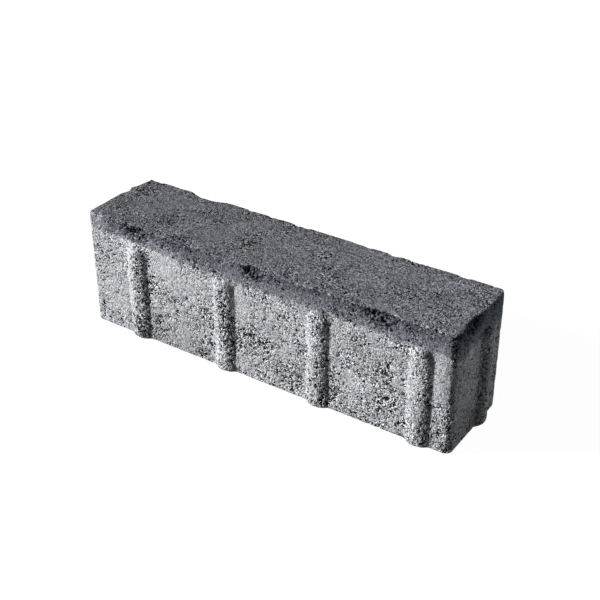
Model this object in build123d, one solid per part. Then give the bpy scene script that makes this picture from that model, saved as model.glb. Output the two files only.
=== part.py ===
# Concrete paver: a narrow bar, pressed and struck out of its mould in one piece.
# It lies on its base. X runs along the bar, Y across it and Z up, in millimetres,
# and the origin is the middle of the base.
from build123d import *
import math
import os

# The bar, measured between the faces that its ribs stand on
body_length = 195
body_width = 45
body_height = 59
corner_radius = 3.4
arris_radius = 1.2
base_radius = 0.7

# Spacer ribs: upright lugs with a round crown, a small hollow foot and a domed upper end.
# Each stands off the middle of its bay, so that the ribs of the next paver pass it by.
rib_proud = 2.5
rib_top = 50
rib_crown_radius = 8.2
rib_foot_radius = 0.6
rib_pitch = 50
rib_offset = 6.8

# Spots where the fresh concrete tore along the upper edge, scooped out of it by a ball.
# A row gives the side, the corner it is measured from (-1 left, 1 right, seen from outside),
# the distance from that corner, the length along the edge, the depth, and how steeply the
# ball comes in, in degrees above the level.
tears = [
    ("front", -1, 29.5, 10.5, 1.5, 15),
    ("front", -1, 95.8, 11, 1.6, 15),
    ("front", 1, 35, 13.5, 1.6, 15),
    ("right", -1, 2, 5, 0.8, 30),
    ("right", -1, 14, 16.5, 1.6, 15),
    ("back", 1, 39, 21, 1.75, 50),
    ("back", -1, 42, 5, 0.5, 50),
    ("back", -1, 54, 7, 0.7, 50),
    ("left", -1, 1, 24, 1.6, 50),
    ("left", -1, 16.5, 6, 1.1, 50),
]

# How far each side is turned about Z from the front, in degrees
turns = {"front": 0, "right": 90, "back": 180, "left": 270}


def side_width(side):
    """How wide a side is."""
    return body_length if side in ("front", "back") else body_width


def side_standoff(side):
    """How far out from the middle of the bar a side's face stands."""
    return (body_width if side in ("front", "back") else body_length) / 2


def bar():
    """The plain bar, with its upright corners and its worn upper edge rounded."""
    block = Pos(0, 0, body_height / 2) * Box(body_length, body_width, body_height)
    block = fillet(block.edges().filter_by(Axis.Z), corner_radius)
    return fillet(block.faces().sort_by(Axis.Z)[-1].edges(), arris_radius)


def rib_half_width():
    """Half the width of a rib over its feet, where the foot curves run out into the face."""
    reach = rib_crown_radius + rib_foot_radius
    return math.sqrt(reach**2 - (reach - rib_proud) ** 2)


def rib_section():
    """Half of a rib's level section: X along the face, Y out from it, the crown on the Y axis."""
    half = rib_half_width()
    reach = rib_crown_radius + rib_foot_radius
    crown_centre = rib_proud - rib_crown_radius
    slope = math.asin(half / reach)
    join = (
        rib_crown_radius * math.sin(slope),
        crown_centre + rib_crown_radius * math.cos(slope),
    )
    on_crown = (
        rib_crown_radius * math.sin(slope / 2),
        crown_centre + rib_crown_radius * math.cos(slope / 2),
    )
    on_foot = (
        half - rib_foot_radius * math.sin(slope / 2),
        rib_foot_radius - rib_foot_radius * math.cos(slope / 2),
    )
    crown = ThreePointArc((0, rib_proud), on_crown, join)
    foot = ThreePointArc(join, on_foot, (half, 0))
    root = Polyline((half, 0), (half, -rib_proud), (0, -rib_proud), (0, rib_proud))
    return make_face(crown + foot + root)


def rib():
    """One rib, standing at the origin on the base, with its crown towards -Y."""
    half_section = rib_section()
    dome_height = rib_half_width()
    upright = extrude(half_section + mirror(half_section, Plane.YZ), rib_top - dome_height)
    dome = Pos(0, 0, rib_top - dome_height) * revolve(half_section, Axis.Y)
    return Rot(0, 0, 180) * (upright + dome)


def rib_places(width):
    """Where the ribs of a side stand along it: as many as it has room for, about its middle."""
    room = width - 2 * (corner_radius + rib_offset + rib_half_width())
    count = 1 + int(room // rib_pitch)
    return [(i - (count - 1) / 2) * rib_pitch + rib_offset for i in range(count)]


def tear(side, corner, distance, length, depth, steepness):
    """The ball that scoops one torn spot out of the upper edge of a side."""
    radius = length**2 / (8 * depth) + depth / 2
    reach = arris_radius - depth + radius
    lean = math.radians(steepness)
    along = corner * (side_width(side) / 2 - distance)
    out = side_standoff(side) - arris_radius + reach * math.cos(lean)
    up = body_height - arris_radius + reach * math.sin(lean)
    return Rot(0, 0, turns[side]) * Pos(along, -out, up) * Sphere(radius)


def paver():
    """The bar with the ribs of its four sides, less the torn spots of its upper edge."""
    whole = bar()
    for side, turn in turns.items():
        for place in rib_places(side_width(side)):
            whole += Rot(0, 0, turn) * Pos(place, -side_standoff(side), 0) * rib()
    whole = fillet(whole.faces().sort_by(Axis.Z)[0].edges(), base_radius)
    for spot in tears:
        whole -= tear(*spot)
    return whole


os.makedirs("parts", exist_ok=True)
export_step(paver(), "parts/paver.step")
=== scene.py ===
import math

import bmesh
import bpy
import numpy as np
from mathutils import Matrix, Vector


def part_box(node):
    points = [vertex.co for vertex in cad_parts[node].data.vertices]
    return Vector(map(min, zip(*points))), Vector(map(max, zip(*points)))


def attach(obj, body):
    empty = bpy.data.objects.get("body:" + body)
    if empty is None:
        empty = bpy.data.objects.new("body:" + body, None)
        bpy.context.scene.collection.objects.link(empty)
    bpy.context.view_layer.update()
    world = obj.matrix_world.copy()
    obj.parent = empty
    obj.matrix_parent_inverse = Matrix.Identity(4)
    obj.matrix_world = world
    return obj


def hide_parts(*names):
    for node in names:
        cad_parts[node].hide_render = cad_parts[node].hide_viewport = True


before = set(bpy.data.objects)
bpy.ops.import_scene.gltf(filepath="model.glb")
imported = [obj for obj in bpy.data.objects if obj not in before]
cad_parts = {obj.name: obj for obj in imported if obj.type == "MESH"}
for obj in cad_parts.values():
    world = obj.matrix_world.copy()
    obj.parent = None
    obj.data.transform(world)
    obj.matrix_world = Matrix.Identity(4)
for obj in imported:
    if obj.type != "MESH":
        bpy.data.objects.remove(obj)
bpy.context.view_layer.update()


# The paver is one bar of semi-dry concrete, pressed and shaken in a steel mould: a pale core mix
# with a dark, finer face mix laid on it. It leaves the mould fresh, so its sides keep the open
# voids between their grains, and its upper edge is worn and torn in places.
LOW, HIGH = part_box("paver")
MM = 0.001
MOST_TRIANGLES = 194000

# In mm: how far the ribs stand out, how far the worn edge reaches, how finely the skin is drawn,
# and how close two corners of the cast shape lie to be one.
RIB_PROUD = 2.5
WORN_REACH = 5
SKIN_SPACING = 0.36
MERGE_DISTANCE = 0.01

length = (HIGH[0] - LOW[0]) / MM - 2 * RIB_PROUD
width = (HIGH[1] - LOW[1]) / MM - 2 * RIB_PROUD
height = (HIGH[2] - LOW[2]) / MM


# Spots are told as their middle and half their reach along, across and up, in mm.
# Here the fresh edge tore.
TORN_SPOTS = [
    # the front
    ((-68, -22.5, 57.5), (9, 2.2, 8)), ((-1.7, -22.5, 57.5), (9, 2.2, 8)),
    ((62, -22.5, 57), (11, 2.2, 9)),
    # the right end
    ((97.5, -8.5, 58), (2.5, 13, 8)), ((97.5, -20.5, 59), (2.2, 5, 5)),
    # the back
    ((-58.5, 22.5, 59), (11, 2, 4)), ((43.5, 22.5, 59), (4, 2, 3)), ((55.5, 22.5, 59), (3, 2, 3)),
    # the left end
    ((-97.5, 20, 59), (2, 8, 4)), ((-97.5, 6, 59), (2, 4, 3)),
]

# Darker spots have a share above 0, and pale ones where lime came out one below 0. Some of the
# darker ones are painted shade, as said for each group below; the others are darker patches.
STAINS_AND_SHADE = [
    # the front's ribs: painted shade on the upper right shoulder of each rib's dome,
    # and painted shade down each rib's shaded right flank and its crease
    ((-64, -24, 46), (4, 4, 4), 0.4), ((-14, -24, 46), (4, 4, 4), 0.4),
    ((37, -24, 46), (4, 4, 4), 0.4), ((85.6, -23.8, 47), (3.5, 3.5, 4), 0.85),
    ((-63.3, -23.5, 26), (2.2, 2.5, 32), 0.3), ((-13.3, -23.5, 26), (2.2, 2.5, 32), 0.3),
    ((36.7, -23.5, 26), (2.2, 2.5, 32), 0.3), ((86.7, -23.5, 26), (2.2, 2.5, 32), 0.3),
    # the rest of the front, from the left; the darker spot at 94.5 is painted shade on the rounded
    # right corner, which turns away from the soft box
    ((-92, -22.5, 57), (12, 4, 5.5), -1.1), ((-74, -23, 51.5), (4, 3, 3.5), -0.5),
    ((-70, -22.5, 42), (30, 3, 14), -0.06), ((-65, -24, 3), (5, 4, 6), 0.5),
    ((-62, -22.5, 53), (34, 3, 6), -0.3), ((-45, -22.5, 6), (30, 2, 18), 0.2),
    ((58, -22.5, 15), (24, 3, 18), -0.1), ((58, -22.5, 40), (24, 3, 10), 0.08),
    ((93.5, -22.5, 12), (6, 3, 16), -0.1), ((94.5, -23, 37), (5, 3.5, 26), 0.32),
    # the right end: painted shade along its rib's front flank and crease, towards its base and in
    # its torn upper edge, a darker patch high on its rib, and a pale streak where lime came out
    ((98.5, 4, 26), (4, 3.6, 34), 0.38), ((98, -2, 6), (3, 6, 10), 0.35),
    ((98, -8, 8), (4, 16, 18), 0.2), ((97.5, -8.7, 45.5), (3, 1.6, 5), -1.2),
    ((97.5, 7, 47.5), (3, 9, 4), 0.3), ((97.5, -8, 58.5), (3, 10, 3.5), 0.9),
]

# Where the mix lies loose the share is above 0, and where the mould pressed it smooth below 0.
LOOSE_SPOTS = [
    # loose patches of the front, from the left
    ((-67, -24, 7), (7, 4, 9), 0.15), ((-57, -22.5, 12), (4, 2, 6), 0.15),
    ((-32, -22.5, 5), (9, 2, 6), 0.12), ((-18, -24, 34), (5, 4, 16), 0.1),
    ((-6, -22.5, 21), (9, 2, 14), 0.1), ((19, -22.5, 10), (8, 2, 8), 0.15),
    ((32, -24, 32), (6, 4, 18), 0.08), ((43, -22.5, 26), (9, 2, 9), 0.06),
    ((62, -22.5, 9), (9, 2, 9), 0.1), ((64, -22.5, 33), (9, 2, 13), 0.1),
    ((73, -22.5, 22), (10, 2, 5), 0.15), ((83, -24, 8), (12, 4, 12), 0.06),
    # smooth patches of the front, from the left, and of the right end
    ((-91, -22.5, 55), (10, 3, 6), -0.12), ((-85, -22.5, 18), (16, 3, 14), -0.2),
    ((-71, -24, 32), (4, 4, 22), -0.12), ((-50, -22.5, 42), (11, 3, 12), -0.2),
    ((-21.5, -24, 20), (3.5, 4, 20), -0.12), ((-20, -24, 12), (7, 4, 13), -0.15),
    ((-9, -22.5, 38), (6, 3, 12), -0.15), ((28.5, -24, 20), (3.5, 4, 20), -0.08),
    ((51, -22.5, 20), (9, 3, 9), -0.15), ((91.5, -23, 38), (6, 3.5, 24), -0.3),
    ((98, -8, 26), (4, 13, 30), -0.06),
    # loose patches of the top, from the left
    ((-89, -9, 59), (7, 9, 3), 0.18), ((-88, 10, 59), (7, 6, 3), 0.2),
    ((-62, -10, 59), (5, 5, 3), 0.15), ((-52, 8, 59), (7, 7, 3), 0.22),
    ((-45, -20, 59), (6, 5, 3), 0.15), ((-25, -20, 59), (6, 4, 3), 0.15),
    ((-15, -5, 59), (5, 6, 3), 0.2), ((8, 5, 59), (4, 5, 3), 0.15),
    ((17, 4, 59), (7, 6, 3), 0.2), ((24, -5, 59), (5, 4, 3), 0.2),
    ((40, -14, 59), (14, 8, 3), 0.12), ((75, -5, 59), (22, 14, 3), 0.1),
    ((75, 3, 59), (4, 4, 3), 0.15),
    # smooth patches of the top, from the left
    ((-73, 5, 59), (14, 16, 3), -0.15), ((-66, 10, 59), (8, 9, 3), -0.2),
    ((-30, -5, 59), (16, 14, 3), -0.1), ((5, -18, 59), (9, 6, 3), -0.15),
    ((46, 16, 59), (7, 9, 3), -0.25), ((60, 10, 59), (16, 10, 3), -0.1),
]


def ease(low, high, value):
    """0 up to low, 1 from high on, and an even S between them."""
    part = np.clip((value - low) / (high - low), 0, 1)
    return part * part * (3 - 2 * part)


def spot_share(places, middle, reach):
    """1 in the middle of a spot, falling to 0 at its rim."""
    return 1 - ease(0.3, 1.0, np.linalg.norm((places - middle) / reach, axis=1))


def edge_share(places):
    """1 on the upper edge, and half of that on the upright corners, falling to 0 a few mm away."""
    x, y, z = places.T
    from_end = np.maximum(length / 2 - abs(x), 0)
    from_side = np.maximum(width / 2 - abs(y), 0)
    from_upper_edge = np.hypot(np.minimum(from_end, from_side), height - z)
    from_corner = np.hypot(from_end, from_side)
    upper_edge = 1 - ease(0.5, WORN_REACH, from_upper_edge)
    corner = 0.5 - 0.5 * ease(0.5, WORN_REACH, from_corner)
    return np.maximum(upper_edge, corner)


cast = bmesh.new()
cast.from_mesh(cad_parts["paver"].data)
bmesh.ops.remove_doubles(cast, verts=cast.verts, dist=MERGE_DISTANCE * MM)
cast_mesh = bpy.data.meshes.new("paver_concrete")
cast.to_mesh(cast_mesh)
cast.free()
paver = bpy.data.objects.new("paver_concrete", cast_mesh)
bpy.context.scene.collection.objects.link(paver)


def settle(piece, name):
    """Turns a piece's live modifiers into its mesh."""
    bpy.context.view_layer.update()
    shape = piece.evaluated_get(bpy.context.evaluated_depsgraph_get())
    piece.data = bpy.data.meshes.new_from_object(shape)
    piece.data.name = name
    piece.modifiers.clear()


skin = paver.modifiers.new("skin", "REMESH")
skin.mode = "VOXEL"
skin.voxel_size = SKIN_SPACING * MM
settle(paver, "paver_skin")


def shares_of(places, spots):
    """The shares of all the spots, added up at each place."""
    return sum(share * spot_share(places, middle, reach) for middle, reach, share in spots)


places = np.empty(3 * len(paver.data.vertices))
paver.data.vertices.foreach_get("co", places)
places = places.reshape(-1, 3) / MM
for name, shares in (
    ("near_edge", edge_share(places)),
    ("torn", np.max([spot_share(places, *spot) for spot in TORN_SPOTS], axis=0)),
    ("stain_and_shade", shares_of(places, STAINS_AND_SHADE)),
    ("loosened", shares_of(places, LOOSE_SPOTS)),
):
    paver.data.attributes.new(name, "FLOAT", "POINT").data.foreach_set("value", shares)


def add(tree, kind, settings=None, out=None, **links):
    """Adds one node with its settings and links, and gives one output, the first if none is named."""
    node = tree.nodes.new(kind if kind.startswith("Geometry") else "ShaderNode" + kind)
    for name, value in (settings or {}).items():
        setattr(node, name, value)
    inputs = [socket for socket in node.inputs if socket.enabled]
    for name, value in links.items():
        name = name.replace("_", " ").strip()
        socket = inputs[int(name)] if name.isdigit() else next(s for s in inputs if s.name == name)
        if isinstance(value, bpy.types.NodeSocket):
            tree.links.new(value, socket)
        else:
            socket.default_value = value
    outputs = [socket for socket in node.outputs if socket.enabled]
    return next((s for s in outputs if out in (None, s.name)), None)


# Settings that many nodes share.
TIMES = {"operation": "MULTIPLY"}
TIMES_PLUS = {"operation": "MULTIPLY_ADD"}
EASED = {"interpolation_type": "SMOOTHSTEP"}

# How wide the parts of the concrete's pattern are, in mm.
MIXING_WAVE, CLUSTER_WIDTH, ZONE_WIDTH, SWELL_WIDTH = 4, 3.6, 14, 7
VOID_WIDTH, CRAG_WIDTH, GRAIN_WIDTH = 1.25, 1.3, 1.1

# How far the face mix reaches down, in mm: at the left end, from the first third of the bar on,
# how much more on the right end, and how far at most its lower limit strays from that.
REACH_LEFT, REACH_ALONG, REACH_MORE_ON_END, REACH_STRAYS = 6.5, 10.4, 2.5, 4.5


def concrete_pattern(tree, place, torn, near_edge, loosened):
    """The concrete's own pattern, alike in the relief and in the material.

    place is where a point lay in the mould, in mm. Every part of the pattern runs from 0 to 1,
    but for down, which is how far below the top the point lay, in mm."""
    part = {}
    x = add(tree, "SeparateXYZ", out="X", Vector=place)
    z = x.node.outputs["Z"]
    part["down"] = add(tree, "Math", {"operation": "SUBTRACT"}, _0=height, _1=z)
    # In the material the top's colour ends 0.3 to 0.7 mm below the top, so the rounded arris takes
    # the sides' darker face-mix colour: painted shade where the arris would catch the soft box.
    part["top"] = add(tree, "MapRange", Value=part["down"], From_Min=0.7, From_Max=0.3)
    part["base"] = add(tree, "MapRange", Value=z, From_Min=0.5, From_Max=0.15)
    part["on_end"] = add(tree, "MapRange", Value=x, From_Min=95, From_Max=97.5)

    # The lower limit of the face mix is a rough mixing line.
    wave = add(tree, "TexNoise", Vector=place, Scale=1 / MIXING_WAVE, Detail=6.0, Roughness=0.8)
    ragged = add(tree, "MapRange", Value=wave, To_Min=-REACH_STRAYS, To_Max=REACH_STRAYS)
    reach = add(tree, "MapRange", Value=x, From_Min=-97, From_Max=-30,
                To_Min=REACH_LEFT, To_Max=REACH_ALONG)
    reach = add(tree, "Math", _0=reach, _1=ragged)
    reach = add(tree, "Math", TIMES_PLUS, _0=part["on_end"], _1=REACH_MORE_ON_END, _2=reach)
    over = add(tree, "Math", {"operation": "SUBTRACT"}, _0=reach, _1=part["down"])
    part["face_mix"] = add(tree, "MapRange", EASED, Value=over, From_Min=-1.0, From_Max=1.0)

    # How loose the mix lies: in clusters a few mm wide, more of them low down and fewer in the
    # face mix, and most of all where the ram's rim met the mould.
    part["cluster"] = add(tree, "TexNoise", Vector=place, Scale=1 / CLUSTER_WIDTH, Detail=3.0,
                          Roughness=0.65)
    zones = add(tree, "TexNoise", Vector=place, Scale=1 / ZONE_WIDTH, Detail=2.0)
    loose = add(tree, "Math", TIMES_PLUS, _0=zones, _1=0.8, _2=part["cluster"])
    loose = add(tree, "Math", _0=loose, _1=loosened)
    for cause, weight in ((z, -0.0012), (part["face_mix"], -0.03), (near_edge, 0.07)):
        loose = add(tree, "Math", TIMES_PLUS, _0=cause, _1=weight, _2=loose)
    part["open"] = add(tree, "MapRange", Value=loose, From_Min=0.65, From_Max=1.15)

    # The grains stand packed together, with voids between them where the mix lies loose.
    part["packing"] = add(tree, "TexNoise", Vector=place, Scale=1 / VOID_WIDTH, Detail=2.0,
                          Roughness=0.7, Distortion=1.0)
    from_level = add(tree, "MapRange", Value=part["open"], To_Min=0.66, To_Max=0.49)
    from_level = add(tree, "Math", TIMES_PLUS, _0=torn, _1=0.04, _2=from_level)
    to_level = add(tree, "Math", _0=from_level, _1=0.035)
    voids = add(tree, "MapRange", EASED, Value=part["packing"],
                From_Min=from_level, From_Max=to_level)

    # Where the edge tore, crags lie between grains that were pulled half out.
    crags = add(tree, "TexNoise", Vector=place, Scale=1 / CRAG_WIDTH, Detail=2.0, Roughness=0.6,
                Distortion=0.5)
    crags = add(tree, "MapRange", EASED, Value=crags, From_Min=0.5, From_Max=0.54)
    part["crag"] = add(tree, "Math", TIMES, _0=crags, _1=torn)
    part["pore"] = add(tree, "Math", {"operation": "MAXIMUM"}, _0=voids, _1=part["crag"])

    grains = add(tree, "TexVoronoi", out="Color", Vector=place, Scale=1 / GRAIN_WIDTH)
    part["grain"] = add(tree, "SeparateXYZ", out="X", Vector=grains)
    part["swell"] = add(tree, "TexNoise", Vector=place, Scale=1 / SWELL_WIDTH, Detail=3.0,
                        Roughness=0.55)
    return part


# The relief sinks into the skin only, so the paver never grows past its mould. Its depths are
# in mm. On the top and the base, which the press flattened, voids and clusters are shallower.
VOID_DEPTH, CLUSTER_DEPTH, CRAG_DEPTH = 0.5, 0.4, 0.9
EDGE_VOID_DEPTH, EDGE_WEAR_DEPTH = 0.4, 0.8
PRESSED_SHARE = 0.4

relief = bpy.data.node_groups.new("concrete_relief", "GeometryNodeTree")
relief.interface.new_socket("Skin", in_out="INPUT", socket_type="NodeSocketGeometry")
relief.interface.new_socket("Skin", in_out="OUTPUT", socket_type="NodeSocketGeometry")
skin_in = relief.nodes.new("NodeGroupInput").outputs["Skin"]
spot = add(relief, "GeometryNodeInputPosition")
facing = add(relief, "GeometryNodeInputNormal")
laid = add(relief, "VectorMath", {"operation": "SCALE"}, Vector=spot, Scale=1 / MM)
torn, near_edge, loosened = (
    add(relief, "GeometryNodeInputNamedAttribute", Name=name)
    for name in ("torn", "near_edge", "loosened")
)
part = concrete_pattern(relief, laid, torn, near_edge, loosened)
sink = add(relief, "Math", TIMES, _0=part["pore"], _1=VOID_DEPTH)
sink = add(relief, "Math", TIMES_PLUS, _0=part["cluster"], _1=CLUSTER_DEPTH, _2=sink)
pressed = add(relief, "Math", {"operation": "MAXIMUM"}, _0=part["top"], _1=part["base"])
pressed = add(relief, "MapRange", Value=pressed, To_Min=1.0, To_Max=PRESSED_SHARE)
sink = add(relief, "Math", TIMES, _0=sink, _1=pressed)
notch = add(relief, "Math", TIMES, _0=part["pore"], _1=near_edge)
worn = add(relief, "MapRange", Value=part["swell"], From_Min=0.5, From_Max=0.8)
worn = add(relief, "Math", TIMES, _0=worn, _1=near_edge)
for share, depth in (
    (part["crag"], CRAG_DEPTH), (notch, EDGE_VOID_DEPTH), (worn, EDGE_WEAR_DEPTH),
):
    sink = add(relief, "Math", TIMES_PLUS, _0=share, _1=depth, _2=sink)
sink = add(relief, "Math", TIMES, _0=sink, _1=-MM)
offset = add(relief, "VectorMath", {"operation": "SCALE"}, Vector=facing, Scale=sink)
sunk = add(relief, "VectorMath", {"operation": "ADD"}, _0=spot, _1=offset)
sunk = add(relief, "VectorMath", {"operation": "MAXIMUM"}, _0=sunk, _1=tuple(LOW))
sunk = add(relief, "VectorMath", {"operation": "MINIMUM"}, _0=sunk, _1=tuple(HIGH))
kept = add(relief, "GeometryNodeStoreNamedAttribute", {"data_type": "FLOAT_VECTOR"},
           Geometry=skin_in, Name="laid_place", Value=laid)
moved = add(relief, "GeometryNodeSetPosition", Geometry=kept, Position=sunk)
relief.links.new(moved, relief.nodes.new("NodeGroupOutput").inputs["Skin"])

paver.modifiers.new("relief", "NODES").node_group = relief
thin = paver.modifiers.new("thin", "DECIMATE")
thin.ratio = min(1, MOST_TRIANGLES / (2 * len(paver.data.polygons)))
settle(paver, "paver_concrete")
bpy.data.node_groups.remove(relief)
for polygon in paver.data.polygons:
    polygon.use_smooth = True


def linear(code):
    """An sRGB hex colour as the linear RGBA that a shader takes."""
    parts = [int(code[i:i + 2], 16) / 255 for i in (1, 3, 5)]
    return [c / 12.92 if c <= 0.04045 else ((c + 0.055) / 1.055) ** 2.4 for c in parts] + [1]


# Pressed concrete: cement-grey paste with pale and dark sand grains, and voids that look black.
# It is quite matt, and the anthracite of the face mix is a pigment, so it is as matt as the core.
# Widths and the height of the bump are in mm, and tints are factors of red, green and blue. The
# sand is drawn coarser than it is, so that it shows in the render.
CORE_PASTE, QUARTZ, VOID_SHADE = "#bfc1c5", "#eeeeee", "#1c1d20"
FACE_MIX_UP, FACE_MIX_LOW = "#5c6067", "#8a8d94"
TOP_MIX_LEFT, TOP_MIX_RIGHT = "#74767c", "#87898f"
PLAIN, SHADE_BLUE_ON_END = (1, 1, 1, 1), (1, 1.07, 1.18, 1)
BROWNER, BLUER = (1.01, 1, 0.985, 1), (0.99, 1, 1.015, 1)
SAND_WIDTH, STREAK_WIDTH, HUE_WIDTH = 0.75, 1.6, 5
STREAK_STRETCH = (1, 1, 0.08)
BUMP_HEIGHT = 0.8
COLOURS = {"data_type": "RGBA"}
COLOURS_TIMES = {"data_type": "RGBA", "blend_type": "MULTIPLY"}

concrete = bpy.data.materials.new("pressed_concrete_with_anthracite_face_mix")
concrete.use_nodes = True
tree = concrete.node_tree
tree.nodes.clear()
laid = add(tree, "Attribute", {"attribute_name": "laid_place"}, out="Vector")
torn, near_edge, loosened, stain_and_shade = (
    add(tree, "Attribute", {"attribute_name": name}, out="Fac")
    for name in ("torn", "near_edge", "loosened", "stain_and_shade")
)
part = concrete_pattern(tree, laid, torn, near_edge, loosened)

# Both mixes vary in tone with their sand, grains, packing and swells. The variation is stronger
# where the mix lies open and on the top. Torn spots are darker, which is painted shade in their
# hollows, and the stained and shaded spots are darker or paler.
sand = add(tree, "TexNoise", Vector=laid, Scale=1 / SAND_WIDTH, Detail=1.0, Roughness=0.6)
tone = add(tree, "MapRange", Value=sand, From_Min=0.36, From_Max=0.64, To_Min=0.35, To_Max=1.65)
for source, low, high, darkest, palest in (
    (part["grain"], 0, 1, 0.85, 1.15),
    (part["packing"], 0.4, 0.6, 1.2, 0.8),
    (part["swell"], 0.3, 0.7, 0.78, 1.22),
):
    own_tone = add(tree, "MapRange", Value=source, From_Min=low, From_Max=high,
                   To_Min=darkest, To_Max=palest)
    tone = add(tree, "Math", TIMES, _0=tone, _1=own_tone)
contrast = add(tree, "MapRange", Value=part["open"], To_Min=0.55, To_Max=1.4)
contrast = add(tree, "Math", TIMES_PLUS, _0=part["top"], _1=0.2, _2=contrast)
tone = add(tree, "Math", {"operation": "POWER"}, _0=tone, _1=contrast)
torn_painted_shade = add(tree, "MapRange", Value=torn, To_Min=1.0, To_Max=0.88)
tone = add(tree, "Math", TIMES, _0=tone, _1=torn_painted_shade)
# Spots above 0 darken the tone, partly as painted shade, and spots below 0 pale it.
stain_and_shade_tone = add(tree, "Math", {"operation": "SUBTRACT"}, _0=1.0, _1=stain_and_shade)
tone = add(tree, "Math", TIMES, _0=tone, _1=stain_and_shade_tone)

# The core mix has upright streaks, from when it was pushed out of the mould.
streaks = add(tree, "VectorMath", TIMES, _0=laid, _1=STREAK_STRETCH)
streaks = add(tree, "TexNoise", Vector=streaks, Scale=1 / STREAK_WIDTH, Detail=2.0)
streaks = add(tree, "MapRange", Value=streaks, From_Min=0.3, From_Max=0.7, To_Min=0.88, To_Max=1.12)
core_tone = add(tree, "Math", TIMES, _0=tone, _1=streaks)
core = add(tree, "VectorMath", {"operation": "SCALE"}, Vector=linear(CORE_PASTE)[:3],
           Scale=core_tone)

# The face mix pales downwards on the sides, and on the top from the left to the right.
lower = add(tree, "MapRange", Value=part["down"], From_Min=2, From_Max=11)
band = add(tree, "Mix", COLOURS, Factor=lower, A=linear(FACE_MIX_UP), B=linear(FACE_MIX_LOW))
# On the right end, which lies in the soft box's shade, the face mix is tinted bluer: painted shade
# colour.
end_shade_tint = add(tree, "Mix", COLOURS, Factor=part["on_end"], A=PLAIN, B=SHADE_BLUE_ON_END)
band = add(tree, "Mix", COLOURS_TIMES, Factor=1.0, A=band, B=end_shade_tint)
along = add(tree, "SeparateXYZ", out="X", Vector=laid)
along = add(tree, "MapRange", Value=along, From_Min=-90, From_Max=90)
top_mix = add(tree, "Mix", COLOURS, Factor=along, A=linear(TOP_MIX_LEFT), B=linear(TOP_MIX_RIGHT))
face = add(tree, "Mix", COLOURS, Factor=part["top"], A=band, B=top_mix)
face = add(tree, "VectorMath", {"operation": "SCALE"}, Vector=face, Scale=tone)
colour = add(tree, "Mix", COLOURS, Factor=part["face_mix"], A=core, B=face)

# Pale quartz grains show in the core mix and a few in the face mix, more where lime came out.
quartz = add(tree, "MapRange", Value=part["grain"], From_Min=0.86, From_Max=0.92)
quartz_share = add(tree, "MapRange", Value=part["face_mix"], To_Min=0.5, To_Max=0.15)
quartz_share = add(tree, "Math", TIMES_PLUS, _0=stain_and_shade, _1=-0.5, _2=quartz_share)
quartz = add(tree, "Math", TIMES, _0=quartz, _1=quartz_share)
colour = add(tree, "Mix", COLOURS, Factor=quartz, A=colour, B=linear(QUARTZ))

# The cement sets a little bluer in some patches and browner in others.
hue = add(tree, "TexNoise", Vector=laid, Scale=1 / HUE_WIDTH, Detail=2.0)
hue = add(tree, "MapRange", Value=hue, From_Min=0.35, From_Max=0.65)
hue = add(tree, "Mix", COLOURS, Factor=hue, A=BROWNER, B=BLUER)
colour = add(tree, "Mix", COLOURS_TIMES, Factor=1.0, A=colour, B=hue)

# The gaps between the grains hold shade.
colour = add(tree, "Mix", COLOURS_TIMES, Factor=part["pore"], A=colour, B=linear(VOID_SHADE))

# Grains finer than the mesh are bump: domes of sand, higher where the mix lies open.
domes = add(tree, "Math", TIMES_PLUS, _0=part["packing"], _1=-0.8, _2=sand)
domes = add(tree, "Math", TIMES_PLUS, _0=part["pore"], _1=-0.5, _2=domes)
coarse = add(tree, "MapRange", Value=part["open"], To_Min=0.5, To_Max=1.6)
domes = add(tree, "Math", TIMES, _0=domes, _1=coarse)
bump = add(tree, "Bump", Height=domes, Strength=1.0, Distance=BUMP_HEIGHT * MM)
surface = add(tree, "BsdfPrincipled", Base_Color=colour, Roughness=0.93, Specular_IOR_Level=0.3,
              Normal=bump)
add(tree, "OutputMaterial", Surface=surface)
paver.data.materials.append(concrete)

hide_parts("paver")
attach(paver, "root")


# The floor is a plain white sheet that runs out of view. The camera sees it as white paper,
# and it keeps a part of the paver's shadow. Its reach is in metres.
FLOOR_REACH = 3
PAPER_LIT, PAPER_SEEN, PAPER_WHITE = "#6e6e6e", "#5a5a5a", "#ffffff"
PAPER_GLOW = 0.97

sheet = bmesh.new()
bmesh.ops.create_grid(sheet, x_segments=1, y_segments=1, size=FLOOR_REACH)
floor_mesh = bpy.data.meshes.new("floor")
sheet.to_mesh(floor_mesh)
sheet.free()
floor = bpy.data.objects.new("floor", floor_mesh)
bpy.context.scene.collection.objects.link(floor)
paper = bpy.data.materials.new("floor_paper")
paper.use_nodes = True
tree = paper.node_tree
tree.nodes.clear()
eye = add(tree, "LightPath", out="Is Camera Ray")
mirror = add(tree, "LightPath", out="Is Glossy Ray")
glass = add(tree, "LightPath", out="Is Transmission Ray")
seen = add(tree, "Math", {"operation": "MAXIMUM"}, _0=eye, _1=mirror)
seen = add(tree, "Math", {"operation": "MAXIMUM"}, _0=seen, _1=glass)
lit = add(tree, "BsdfDiffuse", Color=linear(PAPER_LIT))
shaded = add(tree, "BsdfDiffuse", Color=linear(PAPER_SEEN))
white = add(tree, "Emission", Color=linear(PAPER_WHITE), Strength=PAPER_GLOW)
backdrop = add(tree, "AddShader", _0=shaded, _1=white)
either = add(tree, "MixShader", _0=seen, _1=lit, _2=backdrop)
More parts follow.
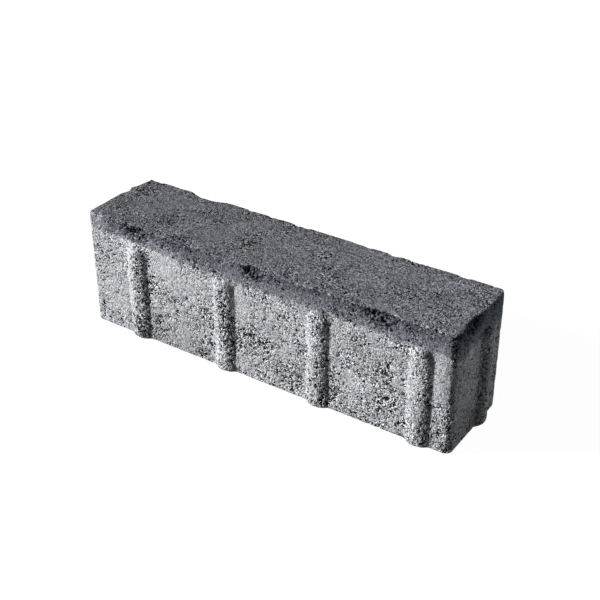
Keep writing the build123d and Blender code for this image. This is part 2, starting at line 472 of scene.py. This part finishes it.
add(tree, "OutputMaterial", Surface=either)
floor.data.materials.append(paper)


# The light is a soft box well to the left of the camera, a weak one behind the paver on the right,
# and a weak even sky that the camera sees as white. Lamps are told by their direction from the
# paver, their distance and their side in metres, and their watts.
SKY_LIGHT = 0.08
for name, towards, distance, side, watts in (
    ("soft_box", (-1.45, -1.0, 0.74), 3, 0.35, 142),
    ("fill_box", (1.0, 1.6, 0.5), 3, 1.5, 18),
):
    towards = Vector(towards).normalized()
    lamp = bpy.data.lights.new(name, "AREA")
    lamp.shape = "SQUARE"
    lamp.size = side
    lamp.energy = watts
    box = bpy.data.objects.new(name, lamp)
    box.location = towards * distance
    box.rotation_euler = towards.to_track_quat("Z", "Y").to_euler()
    bpy.context.scene.collection.objects.link(box)

sky = bpy.data.worlds.new("even_sky")
sky.use_nodes = True
tree = sky.node_tree
tree.nodes.clear()
eye = add(tree, "LightPath", out="Is Camera Ray")
strength = add(tree, "Math", TIMES_PLUS, _0=eye, _1=1 - SKY_LIGHT, _2=SKY_LIGHT)
glow = add(tree, "Background", Color=linear("#ffffff"), Strength=strength)
add(tree, "OutputWorld", Surface=glow)
bpy.context.scene.world = sky


# The camera stands where the photograph's did. Its place, lens and sensor are in mm, and its turn
# about the upright axis, its look downwards and its roll in degrees.
VIEW_FROM = (256.1, -374.64, 311.32)
VIEW_TURN, VIEW_DOWN, VIEW_ROLL = 33.51, 31.613, 0.078
LENS, SENSOR = 70.14, 36

lens = bpy.data.cameras.new("camera")
lens.lens = LENS
lens.sensor_width = SENSOR
camera = bpy.data.objects.new("camera", lens)
camera.matrix_world = (
    Matrix.Translation(Vector(VIEW_FROM) * MM)
    @ Matrix.Rotation(math.radians(VIEW_TURN), 4, "Z")
    @ Matrix.Rotation(math.radians(90 - VIEW_DOWN), 4, "X")
    @ Matrix.Rotation(math.radians(VIEW_ROLL), 4, "Z")
)
bpy.context.scene.collection.objects.link(camera)
bpy.context.scene.camera = camera
bpy.context.scene.view_settings.view_transform = "Standard"
